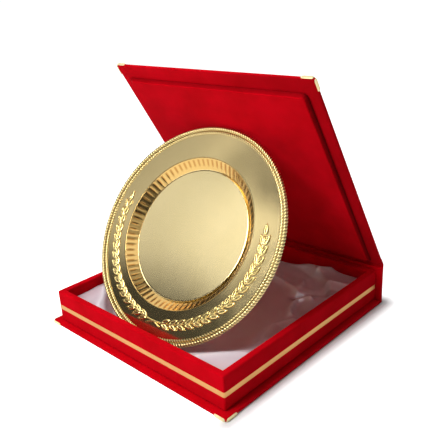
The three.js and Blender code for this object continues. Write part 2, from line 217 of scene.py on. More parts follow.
# %% [markdown]
# Velvet is a dense pile of upright fibres. It looks deep and dark where it is seen straight on and
# lighter at grazing angles, which is what sheen does. The pile never lies quite even, so a soft noise
# varies its depth, and a very fine one roughens it. Hair would draw each fibre, but it is heavy and can't
# be exported. Where a finish has to follow a shape, the piece's points carry a mark, a number from 0 to 1
# that comes from the same formula as the shape.

# %% Finish helpers
def new_finish(name):
    """A material with its node tree, its principled shader and a texture coordinate."""
    material = bpy.data.materials.new(name)
    material.use_nodes = True
    nodes = material.node_tree.nodes
    shader = nodes["Principled BSDF"]
    place = nodes.new("ShaderNodeTexCoord")
    return material, nodes, material.node_tree.links, shader, place.outputs["Object"]


def noise(nodes, links, where, scale, detail):
    """A noise texture on the given coordinate."""
    texture = nodes.new("ShaderNodeTexNoise")
    texture.inputs["Scale"].default_value = scale
    texture.inputs["Detail"].default_value = detail
    links.new(where, texture.inputs["Vector"])
    return texture.outputs["Fac"]


def ramp(nodes, links, fac, stops):
    """A colour ramp through (position, colour) stops."""
    made = nodes.new("ShaderNodeValToRGB")
    elements = made.color_ramp.elements
    while len(elements) < len(stops):
        elements.new(0.5)
    for element, (position, colour) in zip(elements, stops):
        element.position = position
        element.color = (*colour, 1)
    links.new(fac, made.inputs["Fac"])
    return made.outputs["Color"]


def bump(nodes, links, height, distance, strength, under=None):
    """A bump of the given height field, on top of another bump where one is given."""
    made = nodes.new("ShaderNodeBump")
    made.inputs["Distance"].default_value = distance
    made.inputs["Strength"].default_value = strength
    links.new(height, made.inputs["Height"])
    if under is not None:
        links.new(under, made.inputs["Normal"])
    return made.outputs["Normal"]


def marked(nodes, links, colour, mark_name, mark_colour):
    """The colour, turned into mark_colour where the piece's points carry that mark."""
    reader = nodes.new("ShaderNodeAttribute")
    reader.attribute_name = mark_name
    made = nodes.new("ShaderNodeMix")
    made.data_type = "RGBA"
    made.inputs["B"].default_value = (*mark_colour, 1)
    links.new(reader.outputs["Fac"], made.inputs["Factor"])
    links.new(colour, made.inputs["A"])
    return made.outputs["Result"]


# %% Velvet
def velvet_finish():
    """Red pile, with shade painted nearly black where a piece's points carry the mark."""
    material, nodes, links, shader, where = new_finish("velvet")
    nap = noise(nodes, links, where, 42, 3)
    colour = ramp(nodes, links, nap, [(0.3, (0.50, 0.0, 0.004)), (0.7, (0.62, 0.0, 0.007))])
    colour = marked(nodes, links, colour, "painted_velvet_shade", (0.08, 0.0, 0.001))
    links.new(colour, shader.inputs["Base Color"])
    shader.inputs["Roughness"].default_value = 0.92
    shader.inputs["Specular IOR Level"].default_value = 0.04
    shader.inputs["Sheen Weight"].default_value = 0.3
    shader.inputs["Sheen Roughness"].default_value = 0.4
    shader.inputs["Sheen Tint"].default_value = (1.0, 0.02, 0.05, 1)
    pile = noise(nodes, links, where, 2600, 2)
    streaks = noise(nodes, links, where, 160, 4)
    soft = bump(nodes, links, streaks, 0.0004, 0.35)
    links.new(bump(nodes, links, pile, 0.0003, 0.5, soft), shader.inputs["Normal"])
    return material


velvet = velvet_finish()
print("finish made:", velvet.name)

# %% [markdown]
# The metals are all thin gold plating. The pressed plate is polished, the bare disc is satin finished and
# paler, the rope and the wreath are cast with small hollows, and the paper-thin strip in the tray's side
# is matt. Shade is painted dark into the cast hollows and the bottoms of the plate's flutes. They differ
# only in colour, roughness and grain, so one maker covers them all.

# %% Metals
haze_spread = 0.03


def metal_finish(name, dark, light, roughness, grain_scale, grain_depth, marks=()):
    """Cloudy gold with a fine grain. Its roughness varies a little to both sides of the one given. Each
    mark is a name and the colour that the marked points have."""
    material, nodes, links, shader, where = new_finish(name)
    cloud = noise(nodes, links, where, 30, 3)
    colour = ramp(nodes, links, cloud, [(0.3, dark), (0.7, light)])
    for mark_name, mark_colour in marks:
        colour = marked(nodes, links, colour, mark_name, mark_colour)
    links.new(colour, shader.inputs["Base Color"])
    shader.inputs["Metallic"].default_value = 1
    haze = nodes.new("ShaderNodeMapRange")
    haze.inputs["To Min"].default_value = roughness - haze_spread
    haze.inputs["To Max"].default_value = roughness + haze_spread
    links.new(noise(nodes, links, where, 90, 4), haze.inputs["Value"])
    links.new(haze.outputs["Result"], shader.inputs["Roughness"])
    grain = noise(nodes, links, where, grain_scale, 3)
    links.new(bump(nodes, links, grain, grain_depth, 0.3), shader.inputs["Normal"])
    return material


# The hollow marks are painted shade: in the flute bottoms, the rope's notches and the leaves' grooves.
plate_gold = metal_finish("plate_gold", (0.76, 0.60, 0.29), (0.79, 0.63, 0.31), 0.16, 900, 0.000004,
                          [("cove", (0.49, 0.32, 0.11)), ("painted_hollow_shade", (0.32, 0.14, 0.03))])
disc_gold = metal_finish("disc_gold", (0.83, 0.68, 0.35), (0.86, 0.71, 0.38), 0.21, 1500, 0.000005)
leaf_gold = metal_finish("leaf_gold", (0.76, 0.58, 0.22), (0.82, 0.65, 0.27), 0.25, 1200, 0.00003,
                         [("painted_hollow_shade", (0.10, 0.06, 0.015))])
cast_gold = metal_finish("cast_gold", (0.72, 0.57, 0.25), (0.78, 0.62, 0.29), 0.28, 1200, 0.00003,
                         [("painted_hollow_shade", (0.20, 0.14, 0.05))])
strip_gold = metal_finish("strip_gold", (0.54, 0.28, 0.10), (0.60, 0.33, 0.12), 0.5, 1800, 0.00006)
corner_brass = metal_finish("corner_brass", (0.80, 0.68, 0.38), (0.86, 0.74, 0.44), 0.48, 1400, 0.00004)
metals = [plate_gold, disc_gold, leaf_gold, cast_gold, strip_gold, corner_brass]
print("finishes made:", [metal.name for metal in metals])

# %% [markdown]
# Satin shines along its threads, so its highlight is broad and soft. An anisotropic shader would follow
# the threads, but it needs a UV map for its tangents, so a fine wave in the bump stands for them.
# Wadding is dull and fibrous, which is full roughness and a deep noise.

# %% Satin and wadding
def satin_finish():
    """Pale pink satin, with painted highlights on the crests of its folds and painted shade in the troughs.
    """
    material, nodes, links, shader, where = new_finish("satin")
    cloud = noise(nodes, links, where, 24, 2)
    colour = ramp(nodes, links, cloud, [(0.3, (0.66, 0.55, 0.60)), (0.7, (0.74, 0.66, 0.71))])
    colour = marked(nodes, links, colour, "painted_crest_highlight", (0.92, 0.86, 0.90))
    colour = marked(nodes, links, colour, "painted_trough_shade", (0.42, 0.27, 0.31))
    links.new(colour, shader.inputs["Base Color"])
    shader.inputs["Metallic"].default_value = 0.15
    shader.inputs["Roughness"].default_value = 0.30
    shader.inputs["Specular IOR Level"].default_value = 0.8
    shader.inputs["Sheen Weight"].default_value = 0.3
    shader.inputs["Sheen Roughness"].default_value = 0.3
    threads = nodes.new("ShaderNodeTexWave")
    threads.inputs["Scale"].default_value = 900
    threads.inputs["Distortion"].default_value = 1.5
    links.new(where, threads.inputs["Vector"])
    links.new(bump(nodes, links, threads.outputs["Fac"], 0.00005, 0.2), shader.inputs["Normal"])
    return material


def wadding_finish():
    """Off-white tufts without any shine."""
    material, nodes, links, shader, where = new_finish("wadding")
    tufts = noise(nodes, links, where, 300, 6)
    links.new(ramp(nodes, links, tufts, [(0.3, (0.72, 0.71, 0.69)), (0.7, (0.86, 0.85, 0.83))]),
              shader.inputs["Base Color"])
    shader.inputs["Roughness"].default_value = 1
    links.new(bump(nodes, links, tufts, 0.0008, 0.6), shader.inputs["Normal"])
    return material


satin = satin_finish()
wadding = wadding_finish()
print("finishes made:", satin.name, wadding.name)

# %% [markdown]
# A cover board is greyboard wrapped in velvet. Its edges and corners are soft, because the cloth rounds
# them. The board is drawn as rings of a rectangle with round corners. They run from the middle of the
# underside, round the soft edge, to the middle of the top. A bevelled cube has the same form, but no
# points on its flat faces to carry a mark. Inside the lid a painted shade darkens the velvet towards the
# right edge.

# %% Cover boards
arc_steps = 8
side_steps = 26
least_corner = 0.1


def rounded_ring(half_width, half_depth, radius):
    """A rectangle's outline with quarter circles at its corners, and even steps along its sides."""
    angle = np.linspace(0, np.pi / 2, arc_steps)
    arcs = []
    for turn, (side_x, side_y) in enumerate([(1, 1), (-1, 1), (-1, -1), (1, -1)]):
        x = side_x * (half_width - radius) + radius * np.cos(angle + turn * np.pi / 2)
        y = side_y * (half_depth - radius) + radius * np.sin(angle + turn * np.pi / 2)
        arcs.append(np.stack([x, y], axis=1))
    share = np.linspace(0, 1, side_steps + 1)[1:-1, None]
    ring = []
    for arc, following in zip(arcs, arcs[1:] + arcs[:1]):
        ring += [arc, arc[-1] + (following[0] - arc[-1]) * share]
    return np.vstack(ring)


def soft_board(width, depth, thickness, corner_radius, edge_radius, slope=0.0):
    """Rings at (inset, height) along the section: in from the edge by the edge's radius on the underside,
    a quarter circle, the side, a second quarter circle, and back in on top. With a slope the top is drawn
    in by that much more than the underside. The flat faces are the end rings shrunk towards the middle."""
    quarter = np.linspace(0, np.pi / 2, 7)
    low_inset = edge_radius * (1 - np.sin(quarter))
    low_height = edge_radius * (1 - np.cos(quarter))
    high_inset = slope + edge_radius * (1 - np.cos(quarter))
    high_height = thickness - edge_radius * (1 - np.sin(quarter))
    inset = np.concatenate([low_inset, high_inset])
    height = np.concatenate([low_height, high_height])
    rings = []
    for row_inset, row_height in zip(inset, height):
        radius = max(corner_radius - row_inset, least_corner) + slope
        ring = rounded_ring(width / 2 - row_inset, depth / 2 - row_inset, radius)
        rings.append(np.column_stack([ring, np.full(len(ring), row_height)]))
    rings = np.array(rings)
    shrink = np.linspace(0.03, 1, 20)[:-1, None, None] * [[[1, 1, 0]]] + [[[0, 0, 1]]]
    return np.concatenate([rings[0] * shrink, rings, rings[-1] * shrink[::-1]])


board_thickness = 3.0
board_edge = 1.1
board_corner = 1.8
cover_half = 114.0
skin_gap = 0.1
base_back = 107.7
base_depth = cover_half + base_back

base_rings = soft_board(2 * cover_half, base_depth, board_thickness - skin_gap, board_corner, board_edge)
base_rings += [0, base_back - base_depth / 2, skin_gap]
piece("base_board_velvet", loft(base_rings, "middle"), velvet, "case", ["base_board"])

spine_low = 0.9
spine_high = 37.6
spine_rings = soft_board(2 * cover_half, spine_high - spine_low, board_thickness, board_corner, board_edge)
spine_rings = np.stack([spine_rings[..., 0], hinge_y - spine_rings[..., 2],
                        spine_rings[..., 1] + (spine_low + spine_high) / 2], axis=-1)
piece("spine_board_velvet", loft(spine_rings, "middle"), velvet, "case", ["spine_board"])

lid_length = 222.8
lid_painted_shade = 0.3
lid_shade_start = -20
lid_shade_end = 90
lid_rings = soft_board(2 * cover_half, lid_length, board_thickness - skin_gap, board_corner, board_edge)
lid_rings += [0, -lid_length / 2, -board_thickness]
lid_inside = 1 - smooth_step(lid_rings[..., 2] + board_thickness, 0.2, 1.4)
lid_board = piece("lid_board_velvet", loft(on_lid(lid_rings), "middle"), velvet, "lid",
                  ["lid_board"])
# Painted shade: the inside of the lid gets darker towards its right edge.
mark(lid_board, "painted_velvet_shade", lid_painted_shade * lid_inside * smooth_step(lid_rings[..., 0], lid_shade_start, lid_shade_end))

# %% [markdown]
# Inside the lid a thinner board hides the turned-in edges of the cover cloth. Its velvet is pulled over
# its edge and pressed down, so its sides slope and its rim is round. It is a soft board with a slope,
# turned over. The slopes get a painted shade, and the right one, which faces away from the light, the
# darkest.

# %% Lid panel
panel_width = 208.0
panel_depth = 205.3
panel_back = 4.0
panel_height = 3.3
panel_edge = 1.0
panel_slope = 2.8
panel_painted_shade_base = 0.6
panel_right_painted_shade_extra = 0.35
panel_rings = soft_board(panel_width, panel_depth, panel_height, board_corner, panel_edge, panel_slope)
panel_right = smooth_step(panel_rings[..., 0], panel_width / 2 - 6, panel_width / 2 - 1)
panel_shade = panel_painted_shade_base + panel_right_painted_shade_extra * panel_right
panel_slope_painted_shade = panel_shade * (1 - smooth_step(panel_rings[..., 2], 0.5 * panel_height, panel_height))
panel_rings = panel_rings * [1, 1, -1] + [0, -panel_back - panel_depth / 2, -board_thickness]
panel = piece("lid_panel_velvet", loft(on_lid(panel_rings), "middle"), velvet, "lid",
              ["lid_panel"])
# Painted shade on the panel's slopes, darkest on the right slope.
mark(panel, "painted_velvet_shade", panel_slope_painted_shade)

# %% [markdown]
# The tray's walls are velvet-covered bars, mitred where they meet. The mitre's upright edge is soft too.
# Bevelled bars would leave a notch there, because each bar's own end would be rounded.
# Each wall is a section carried along X, and then one mapping rounds the tray's four upright corners: a
# point near a corner keeps its larger distance from the corner's centre and moves onto a circle of it.

# %% Tray walls
tray_half = 108.0
wall_thickness = 6.5
wall_height = 31.0
wall_edge = 1.6
wall_foot = 1.5
wall_inner_foot = 0.3
wall_foot_painted_shade = 0.8


def rounded_section(corners, radii):
    """A closed outline with a quarter circle of the given radius at each corner of a rectangle."""
    corners = np.array(corners, float)
    ring = []
    for k, radius in enumerate(radii):
        before, here, after = corners[k - 1], corners[k], corners[(k + 1) % len(corners)]
        to_before = (before - here) / np.linalg.norm(before - here)
        to_after = (after - here) / np.linalg.norm(after - here)
        turn = np.linspace(0, np.pi / 2, arc_steps)[:, None]
        centre = here + radius * (to_before + to_after)
        ring.append(centre - radius * (np.cos(turn) * to_after + np.sin(turn) * to_before))
    return np.vstack(ring)


def bar_on_side(section, side, ends):
    """Carries a (depth, height) section along a side of the tray. An end is mitred where its reach is None.
    Side 0 is the front, 1 the right, 2 the back and 3 the left. The steps are short near the ends."""
    share = np.concatenate([
        np.linspace(-1, -0.98, 12),
        np.linspace(-0.98, 0.98, 50)[1:-1],
        np.linspace(0.98, 1, 12),
    ])
    depth, height = section[:, 0], section[:, 1]
    start = tray_half - depth if ends[0] is None else np.full(len(depth), ends[0])
    end = tray_half - depth if ends[1] is None else np.full(len(depth), ends[1])
    reach = np.where(share[:, None] < 0, start, end)
    x = share[:, None] * reach
    y = np.broadcast_to(depth - tray_half, x.shape)
    z = np.broadcast_to(height + board_thickness, x.shape)
    middle = tray_half - wall_edge
    beyond_x = np.maximum(np.abs(x) - middle, 0)
    beyond_y = np.maximum(np.abs(y) - middle, 0)
    far = np.maximum(beyond_x, beyond_y)
    away = np.maximum(np.hypot(beyond_x, beyond_y), 1e-9)
    both = (beyond_x > 0) & (beyond_y > 0)
    x = np.where(both, np.sign(x) * (middle + beyond_x * far / away), x)
    y = np.where(both, np.sign(y) * (middle + beyond_y * far / away), y)
    c, s = np.cos(side * np.pi / 2), np.sin(side * np.pi / 2)
    return np.stack([x * c - y * s, x * s + y * c, z], axis=-1)


wall_section = rounded_section(
    [(0, 0), (wall_thickness, 0), (wall_thickness, wall_height), (0, wall_height)],
    [wall_foot, wall_inner_foot, wall_edge, wall_edge],
)
# Painted shade along each wall's foot, where it meets the base board.
for side, word in enumerate(["front", "right", "back", "left"]):
    rings = bar_on_side(wall_section, side, (None, None))
    wall = piece(f"tray_{word}_wall_velvet", loft(rings, "face"), velvet, "case",
                 [f"tray_{word}_wall"])
    above_foot = smooth_step(rings[..., 2] - board_thickness, 0.2, 1.6)
    mark(wall, "painted_velvet_shade", wall_foot_painted_shade - wall_foot_painted_shade * above_foot)

# %% [markdown]
# A gold strip is laid round three sides of the tray. It stands hardly proud of the velvet and turns the
# front corners in a mitre. A band of gold in the walls' finish would look alike from afar, but a strip of
# its own has real edges. It takes the walls' maker, so that it follows their round corners.

# %% Gold strips
strip_low = 12.3
strip_width = 4.4
strip_proud = 0.15
strip_depth = 0.7
strip_end = 106.85
strip_round = 0.1
strip_inner_round = 0.05
strip_section = rounded_section(
    [(-strip_proud, strip_low), (strip_depth, strip_low), (strip_depth, strip_low + strip_width),
     (-strip_proud, strip_low + strip_width)],
    [strip_round, strip_inner_round, strip_inner_round, strip_round],
)
strip_runs = [
    ("front", 0, (None, None)),
    ("right", 1, (None, strip_end)),
    ("left", 3, (strip_end, None)),
]
for word, side, ends in strip_runs:
    strip = bar_on_side(strip_section, side, ends)
    piece(f"trim_strip_{word}_gold", loft(strip, "face"), strip_gold, "case",
          [f"trim_strip_{word}"])

# %% [markdown]
# A corner protector is pressed from thin brass: a triangle on the cover's outer face, and a flange folded
# over each edge of the board. The flanges have round ends and nearly meet at the corner. Superellipses
# give them the blunt, pressed form with few points. A protector is drawn with the board's corner at the
# origin, the legs along X and Y and the board's thickness along Z. The tray's floor is never seen, so it
# stays the CAD solid and only gets the velvet.

# %% Corner protectors and the tray's floor
protector_leg = 11.8
protector_gap = 0.9
protector_proud = 0.5
protector_skin = 0.05
protector_lap = 0.1
triangle_edge = 0.2
triangle_cut = 1.0


def protector():
    """Two flanges and a triangle. A flange is a row of sections whose height falls off at both ends like a
    superellipse, and each section is itself a superellipse."""
    share = np.linspace(0, 1, 25)[:, None]
    turn = np.linspace(0, 2 * np.pi, 24, endpoint=False)[None, :]
    tall = (1 - np.abs(2 * share - 1) ** 7 * 0.97) ** 0.4
    across = np.sign(np.cos(turn)) * np.abs(np.cos(turn)) ** 0.5
    upward = np.sign(np.sin(turn)) * np.abs(np.sin(turn)) ** 0.4
    run = protector_gap + (protector_leg - protector_gap) * share + 0 * turn
    out = -protector_skin - protector_proud / 2 + protector_proud / 2 * across + 0 * share
    half_height = board_thickness / 2 + protector_lap
    height = half_height + half_height * upward * tall
    along_x = np.stack([run, out, height], axis=-1)
    along_y = np.stack([out, run, height], axis=-1)
    outline = np.array([
        (triangle_edge, triangle_edge + triangle_cut),
        (triangle_edge + triangle_cut, triangle_edge),
        (protector_leg - triangle_cut, triangle_edge),
        (protector_leg - 0.5, 0.9),
        (0.9, protector_leg - 0.5),
        (triangle_edge, protector_leg - triangle_cut),
    ])
    middle = outline.mean(axis=0)
    triangle = [np.column_stack([middle + (outline - middle) * size, np.full(len(outline), z)])
                for size, z in [(0.97, 0.0), (1, 0.08), (1, 0.4), (0.97, 0.5)]]
    return together([loft(along_x, "face"), loft(along_y, "face"), loft(np.array(triangle), "face")])


protector_points, protector_faces = protector()
for word, side in [("left", -1), ("right", 1)]:
    in_base = protector_points * [-side, 1, 1] + [side * cover_half, -cover_half, 0]
    piece(f"base_corner_{word}_brass", (in_base, protector_faces), corner_brass, "case",
          [f"base_corner_{word}"])
    in_lid = protector_points * [-side, 1, -1] + [side * cover_half, -lid_length, 0]
    piece(f"lid_corner_{word}_brass", (on_lid(in_lid), protector_faces), corner_brass, "lid",
          [f"lid_corner_{word}"])
floor_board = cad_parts["tray_floor"]
floor_board.data.materials.clear()
floor_board.data.materials.append(velvet)

# %% [markdown]
# The hinge is the cover's own velvet, which runs from the back of the spine over the hinge line onto the
# lid. It is a thin band whose ends taper into the boards' velvet, drawn bent to the lid's opening. A
# second and flatter band joins the base to the spine.

# %% Hinge velvet
band_half = 113.6
band_edge = 0.05


def velvet_band(path, normals, proud, thickness):
    """A band carried along X: its front is the path moved out by proud times a bump that falls to nothing
    at both ends, and its back lies a thickness behind."""
    share = np.linspace(0, 1, len(path))
    swell = np.sin(np.pi * share)[:, None] ** 0.5
    front_edge = path + normals * (proud * swell)
    rear_edge = path - normals * (band_edge + thickness * swell)
    x = np.linspace(-band_half, band_half, 60)

    def carried(edge):
        grid = np.empty((len(edge), len(x), 3))
        grid[..., 0] = x
        grid[..., 1] = edge[:, 0:1]
        grid[..., 2] = edge[:, 1:2]
        return grid

    return slab(carried(front_edge), carried(rear_edge))


lap_down = 9.0
lap_up = 9.0
turn_first_row = 11
turn_rows = 8
lid_along = np.array([-np.cos(lid_opening), np.sin(lid_opening)])
lid_out = np.array([np.sin(lid_opening), np.cos(lid_opening)])
down_part = np.linspace(lap_down, 0, 16)[:-1, None]
up_part = np.linspace(0, lap_up, 16)[:, None]
hinge_point = np.array([hinge_y, hinge_z])
hinge_path = np.vstack([hinge_point - down_part * [0, 1], hinge_point + up_part * lid_along])
blend_share = np.clip((np.arange(len(hinge_path)) - turn_first_row) / turn_rows, 0, 1)[:, None]
hinge_normals = (1 - blend_share) * [1, 0] + blend_share * lid_out
hinge_normals /= np.linalg.norm(hinge_normals, axis=1)[:, None]
hinge_shape = velvet_band(hinge_path, hinge_normals, proud=0.25, thickness=1.1)
hinge_band = piece("hinge_velvet_lid", hinge_shape, velvet, None, ["hinge_cloth_lid"])
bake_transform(hinge_band)

base_lap_in = 5.0
bend_radius = 0.6
bend_height = 0.65
on_base = [(base_back - base_lap_in * (1 - s), 0.12) for s in np.linspace(0, 1, 10)]
over_gap = [(base_back + s, 0.05) for s in np.linspace(0.4, 2.6, 6)]
round_bend = [(hinge_y - bend_radius + bend_radius * np.sin(a), bend_height - bend_radius * np.cos(a))
              for a in np.linspace(0.2, 1.57, 6)]
up_spine = [(hinge_y, spine_low + s) for s in np.linspace(0.4, 6, 10)]
base_path = np.array(on_base + over_gap + round_bend + up_spine)
base_direction = np.gradient(base_path, axis=0)
base_normals = np.stack([base_direction[:, 1], -base_direction[:, 0]], axis=1)
base_normals /= np.linalg.norm(base_normals, axis=1)[:, None]
base_shape = velvet_band(base_path, base_normals, proud=0.05, thickness=0.5)
base_band = piece("hinge_velvet_base", base_shape, velvet, "case", ["hinge_cloth_base"])

# %% [markdown]
# The bedding is a pad of wadding with a satin cover. It is flat where the plate lies and puffed up in the
# tray's corners. The satin is gathered at one point on each side, and most of its folds run out from
# there. One more lies across each front corner. Simulated cloth would fold as it likes. Here each fold is
# a path with a height and a width, so it lies where the real one does.

# %% Bedding
bedding_half = 101.2
floor_top = 5.0
bed_height = 6.6
bed_edge_height = 10.3
corner_height = 18.5
bed_flat_radius = 66.0
plate_radius = 100.0
corner_rise = 8.5
bed_clear = (63, 73)
rope_inside = (87, 93)
rope_outside = (101, 106)
rope_press = 0.75

# Each fold has its height, its width and the points of its path. A fold with a height below zero is a pit.
fold_paths = [
    (-2.5, 5.0, [(53, 50), (56, 52)]),
    (4.5, 4.0, [(73, 52), (66, 49), (62, 43), (62, 37), (65, 28), (72, 19)]),
    (3.5, 8.0, [(80, 12), (72, -3), (78, -24), (86, -38)]),
    (4.0, 6.0, [(53, 56), (40, 63), (26, 68), (8, 72)]),
    (3.5, 7.0, [(50, 66), (45, 80), (50, 94), (62, 101)]),
    (-3.0, 4.0, [(58, 54), (66, 60), (76, 64), (90, 64)]),
    (3.5, 7.0, [(64, 66), (76, 76), (96, 80)]),
    (3.5, 8.0, [(78, 50), (88, 46), (98, 38)]),
    (3.2, 11.0, [(66, -92), (77, -79), (92, -66)]),
]


def distance_to_path(x, y, path):
    """Distance to a row of straight stretches: to the nearest point of each, and the least of them."""
    nearest = np.full(x.shape, np.inf)
    for start, end in zip(np.array(path[:-1], float), np.array(path[1:], float)):
        step = end - start
        share = ((x - start[0]) * step[0] + (y - start[1]) * step[1]) / (step @ step)
        share = np.clip(share, 0, 1)
        away = np.hypot(x - start[0] - share * step[0], y - start[1] - share * step[1])
        nearest = np.minimum(nearest, away)
    return nearest


def folds(x, y):
    """Height that the folds add. Each falls off from its path by an exponential, which gives a sharp crest,
    less a wide bell curve, which gives a trough on both sides. Left and right are the same. The plate lies
    here when it is flat: the folds end outside its well, and its rope edge presses them down."""
    radius = np.hypot(x, y)
    under_rope = smooth_step(radius, *rope_inside) * (1 - smooth_step(radius, *rope_outside))
    room = smooth_step(radius, *bed_clear) * (1 - rope_press * under_rope)
    total = 0
    for height, width, path in fold_paths:
        away = distance_to_path(np.abs(x), y, path) / width
        total = total + height * (1.4 * np.exp(-away ** 1.3) - 0.4 * np.exp(-(away / 2.2) ** 2))
    return room * total


def bedding_top(x, y):
    """Flat bed, a rise to the plate's rim and a second rise into the corners, and the folds on top."""
    radius = np.hypot(x, y)
    edge = smooth_step(radius, bed_flat_radius, plate_radius)
    corner = smooth_step(radius, plate_radius, plate_radius + corner_rise)
    rise = (bed_edge_height - bed_height) * edge + (corner_height - bed_edge_height) * corner
    return floor_top + bed_height + rise + folds(x, y)


satin_thickness = 0.5
pad_under_satin = 1.2
pad_over_floor = 0.1
bedding_steps = 181
fold_painted_light = 0.8
across = np.linspace(-bedding_half, bedding_half, bedding_steps)
grid_x, grid_y = np.meshgrid(across, across)
satin_top = np.stack([grid_x, grid_y, bedding_top(grid_x, grid_y)], axis=-1)
satin_under = satin_top - [0, 0, satin_thickness]
satin_piece = piece("satin_lining_cloth", slab(satin_top, satin_under), satin, "case",
                    ["satin_lining"])
fold_height = folds(grid_x, grid_y)
# Painted highlight along the folds' crests and painted shade in their troughs.
mark(satin_piece, "painted_crest_highlight", fold_painted_light * smooth_step(fold_height, 1.5, 4))
mark(satin_piece, "painted_trough_shade", fold_painted_light * smooth_step(-fold_height, 0, 1.5))
pad_top = (satin_top - [0, 0, pad_under_satin])[::2, ::2]
pad_under = np.array(pad_top)
pad_under[..., 2] = floor_top + pad_over_floor
pad_piece = piece("lining_pad_wadding", slab(pad_top, pad_under), wadding, "case",
                  ["lining_pad"])

# %% [markdown]
# The plate is spun from sheet. Its section is turned about the axis: a flange that slopes back a little to
# the rim, a cove that falls straight, and a flat well. Flutes are pressed into the cove, and thin beads
# run along both of its edges. The back follows the front a sheet's thickness behind. A Screw modifier
# would turn a plain section, but the flutes change it all the way round, so the height is a function of
# radius and angle.

# %% Pressed dish
sheet_thickness = 1.2
dish_radius = 95.9
cove_radius = 69.5
cove_width = 9.0
cove_depth = 7.5
innermost = 4
flange_front = 0.6
flange_slope = np.tan(np.radians(3))
flange_middle = 83.0
flute_depth = 0.42
flutes = 80
bead_lines = [(70.1, 0.03, 0.4), (60.4, 0.18, 0.4)]
around_steps = 960


def dish_front(radius, angle):
    """Height of the dish's front: a flange that slopes back to the rim, a straight fall down the cove, and
    a narrow bell curve for each bead line. The cove's lobes stand up from the bottom of the flutes by a
    power of the absolute value of a sine round the plate, most in the cove's outer half."""
    fall = np.clip((cove_radius - radius) / cove_width, 0, 1)
    on_flange = np.clip(radius, cove_radius, dish_radius)
    flange = flange_front + flange_slope * (flange_middle - on_flange)
    height = flange - (cove_depth + flange_slope * (flange_middle - cove_radius)) * fall
    lobe = np.abs(np.sin(flutes * angle / 2)) ** 0.6
    height = height - flute_depth * np.sin(np.pi * fall ** 0.7) * (1 - lobe)
    for place, rise, width in bead_lines:
        height = height + rise * np.exp(-((radius - place) / width) ** 2)
    return height


def cove_marks(radius, angle):
    """How much a point belongs to the cove, and how much painted shade it gets at the bottom of a flute.
    The flute's painted shade is a wedge: it starts near the cove's outer edge and ends before the inner
    one."""
    fall = (cove_radius - radius) / cove_width + 0 * angle
    cove = smooth_step(fall, -0.1, -0.02) * (1 - smooth_step(fall, 0.9, 0.98))
    bottom = smooth_step(1 - np.abs(np.sin(flutes * angle / 2)), 0.2, 0.6)
    wedge = smooth_step(fall, 0.04, 0.16) * (1 - smooth_step(fall, 0.5, 0.75))
    return cove, 0.7 * bottom * wedge


def lathe(radii, heights):
    """Rings round Z from rows of radii and heights."""
    angle = np.linspace(0, 2 * np.pi, heights.shape[1], endpoint=False)
    return np.stack([radii * np.cos(angle), radii * np.sin(angle), heights], axis=-1)


angle = np.linspace(0, 2 * np.pi, around_steps, endpoint=False)[None, :]
flange_rows = np.linspace(95.6, 73.5, 10)
cove_rows = np.linspace(72.6, 59.2, 56)
well_rows = np.linspace(58.5, innermost, 6)
front_radii = np.concatenate([[dish_radius], flange_rows, cove_rows, well_rows])[:, None]
back_well_rows = np.linspace(innermost, 58, 6)
back_cove_rows = np.linspace(60, 71, 16)
back_flange_rows = np.linspace(73, dish_radius, 6)
back_radii = np.concatenate([back_well_rows, back_cove_rows, back_flange_rows])[:, None]
back_heights = dish_front(back_radii, angle) - sheet_thickness
front_heights = dish_front(front_radii, angle)
dish_rings = np.concatenate([lathe(back_radii, back_heights), lathe(front_radii, front_heights)])
dish = piece("plate_dish_gold", loft(on_plate(dish_rings), "middle"), plate_gold, "award",
             ["plate_dish"])
# The cove mark is the cove's deeper gold; the hollow mark is painted shade in the flutes' bottoms.
for mark_name, values in zip(["cove", "painted_hollow_shade"], cove_marks(front_radii, angle)):
    mark(dish, mark_name, np.concatenate([0 * back_heights, values]))

# %% [markdown]
# A thin disc is laid in the well for an engraving. It is left bare. A bevelled cylinder would do, and
# the dish's lathe makes it in one line, with rings on its face that keep the shading flat.

# %% Bare disc
disc_radius = 60.0
disc_low = -6.6
disc_high = -5.8
disc_steps = 192
disc_chamfer = 0.1
disc_round = 0.2
round_middle = 0.06
disc_section = np.array([
    (innermost, disc_low),
    (30, disc_low),
    (disc_radius - disc_chamfer, disc_low),
    (disc_radius, disc_low + disc_chamfer),
    (disc_radius, disc_high - disc_round),
    (disc_radius - round_middle, disc_high - round_middle),
    (disc_radius - disc_round, disc_high),
    (disc_radius - 1, disc_high),
    (45, disc_high),
    (30, disc_high),
    (15, disc_high),
    (innermost, disc_high),
])
disc_rings = lathe(disc_section[:, :1], np.repeat(disc_section[:, 1:], disc_steps, axis=1))
piece("engraving_disc_gold", loft(on_plate(disc_rings), "middle"), disc_gold, "award",
      ["engraving_disc"])

# %% [markdown]
# The rope edge is two rings side by side with 228 notches each, which lie aslant like the gaps between the
# strands of a rope. They are deep on a ring's flanks and shallow on its crest. The inner ring is smaller.
# A twisted bar on a curve would give the same look with far more points, and its ends would have to meet.

# %% Rope border
rope_strands = 228
rope_slant = 1
along = np.linspace(0, 2 * np.pi, rope_strands * 8, endpoint=False)[:, None]
section_turn = np.linspace(0, 2 * np.pi, 16, endpoint=False)[None, :]
strand = np.abs(np.cos((rope_strands * along + 2 * rope_slant * section_turn) / 2)) ** 0.8
notch = (1 - strand) * (0.3 + 0.7 * np.abs(np.cos(section_turn)))


def rope_ring(centre, radius, flatness, notch_depth):
    """A ring whose section is a circle less the notches, pressed flat by the given share."""
    swell = radius - notch_depth * notch
    away = centre + swell * np.cos(section_turn)
    height = flatness * swell * np.sin(section_turn) + 0 * along
    return loft(on_plate(np.stack([away * np.cos(along), away * np.sin(along), height], axis=-1)), "round")


